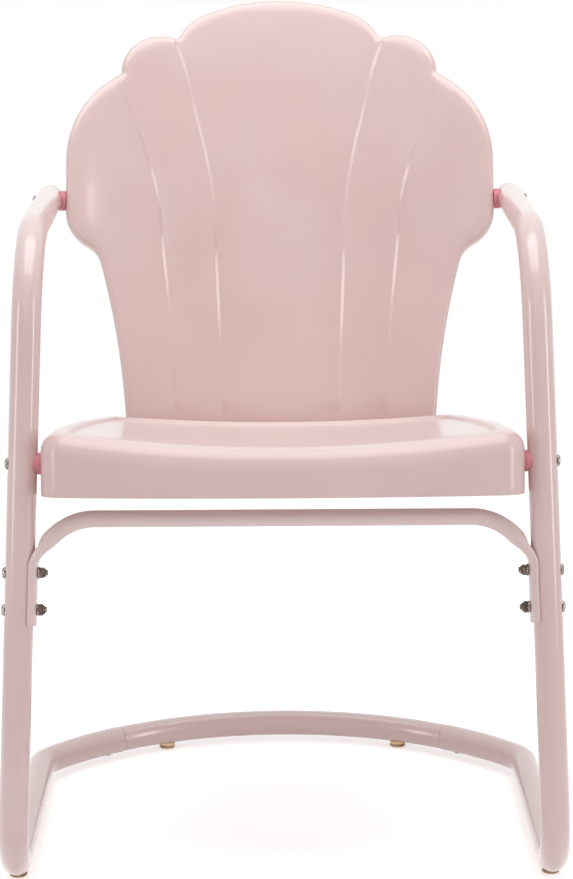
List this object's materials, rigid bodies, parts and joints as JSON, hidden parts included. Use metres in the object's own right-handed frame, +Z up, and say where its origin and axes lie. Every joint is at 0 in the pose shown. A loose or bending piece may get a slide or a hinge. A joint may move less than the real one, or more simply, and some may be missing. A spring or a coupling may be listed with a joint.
{
  "type": "retro metal spring lawn chair",
  "caption": "Cantilever tube-frame garden armchair with a pressed seat pan, a scalloped pressed back, a U-shaped cross brace and round floor glides.",
  "frame": {"origin": "centre of the bounding box's bottom face: on the floor, midway between the sides and between the front of the legs and the rear rim of the back", "axes": "+X to the right seen from the front, the sitter faces -Y, +Z up"},
  "size_m": [0.5666, 0.5716, 0.8505],
  "materials": {
    "frame_paint": "gloss",
    "seat_paint": "gloss",
    "back_paint": "gloss",
    "brace_paint": "gloss",
    "cap_plastic": "gloss",
    "spacer_plastic": "satin",
    "glide_plastic": "gloss",
    "zinc_steel": "satin",
    "nut_steel": "satin"
  },
  "bodies": {
    "base": {"left_runner": "frame_paint", "right_runner": "frame_paint", "rear_cross_tube": "frame_paint", "rear_tube_screws": "zinc_steel", "front_feet": "glide_plastic", "rear_feet": "glide_plastic"},
    "upper": {"left_arm_and_leg": "frame_paint", "right_arm_and_leg": "frame_paint", "arm_end_caps": "cap_plastic", "cross_brace": "brace_paint", "brace_bolts": "zinc_steel", "brace_washers": "zinc_steel", "brace_nuts": "nut_steel", "seat_pan": "seat_paint", "seat_spacers": "spacer_plastic", "seat_bolts": "zinc_steel", "seat_washers": "zinc_steel", "seat_nuts": "nut_steel", "back_shell": "back_paint", "arm_spacers": "spacer_plastic", "arm_bolts": "zinc_steel", "arm_washers": "zinc_steel", "arm_nuts": "nut_steel", "back_bolts": "zinc_steel", "back_washers": "zinc_steel", "back_nuts": "nut_steel"}
  },
  "joints": [
    {"name": "frame_spring", "type": "hinge", "parent": "base", "child": "upper", "pos_m": [0, -0.25618, 0.08295], "axis": [-1, 0, 0], "range_deg": [0, 4], "stiffness_Nm_per_rad": 3500, "springref_deg": -0.43}
  ]
}
